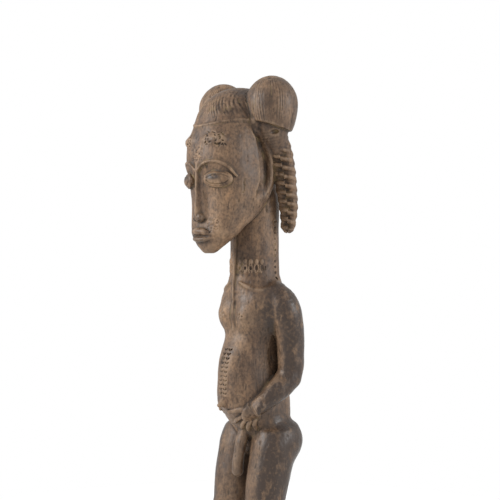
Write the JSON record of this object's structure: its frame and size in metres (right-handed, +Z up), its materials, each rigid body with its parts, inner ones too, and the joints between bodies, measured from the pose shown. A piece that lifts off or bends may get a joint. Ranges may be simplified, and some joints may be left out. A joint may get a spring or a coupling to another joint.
{
  "type": "carved wooden figure",
  "caption": "Standing male figure carved from dark wood, with paired hair lobes, hanging plaits, a long neck and hands on the belly, on a round base.",
  "frame": {"origin": "centre of the round base's underside", "axes": "+Z up through the figure, -Y the way the face looks, +X towards the figure's left arm"},
  "size_m": [0.1014, 0.1026, 0.435],
  "materials": {
    "wood": "matte",
    "dark_wood": "matte",
    "dusty_wood": "matte",
    "rubbed_wood": "satin"
  },
  "bodies": {
    "root": {"base": "dark_wood", "foot_left": "dark_wood", "foot_right": "dark_wood", "lower_leg_left": "wood", "lower_leg_right": "wood", "thigh_left": "wood", "thigh_right": "wood", "buttock_left": "wood", "buttock_right": "wood", "hips": "wood", "abdomen": "wood", "chest": "rubbed_wood", "navel": "dusty_wood", "belly_scar_panel": "dusty_wood", "nipple_left": "dusty_wood", "nipple_right": "dusty_wood", "loin_carving": "wood", "upper_arm_left": "rubbed_wood", "upper_arm_right": "rubbed_wood", "forearm_left": "rubbed_wood", "forearm_right": "rubbed_wood", "hand_left": "rubbed_wood", "hand_right": "rubbed_wood", "neck": "wood", "neck_scar_band": "dusty_wood", "head": "wood", "nose": "rubbed_wood", "mouth": "dark_wood", "brow_left": "wood", "brow_right": "wood", "eye_left": "dusty_wood", "eye_right": "dusty_wood", "hair_cap": "dark_wood", "hair_lobe_left": "rubbed_wood", "hair_lobe_right": "rubbed_wood", "hair_tie_left": "dark_wood", "hair_tie_right": "dark_wood", "hair_rim_left": "dusty_wood", "hair_rim_right": "dusty_wood", "plait_left": "dusty_wood", "plait_right": "dusty_wood"}
  },
  "joints": []
}
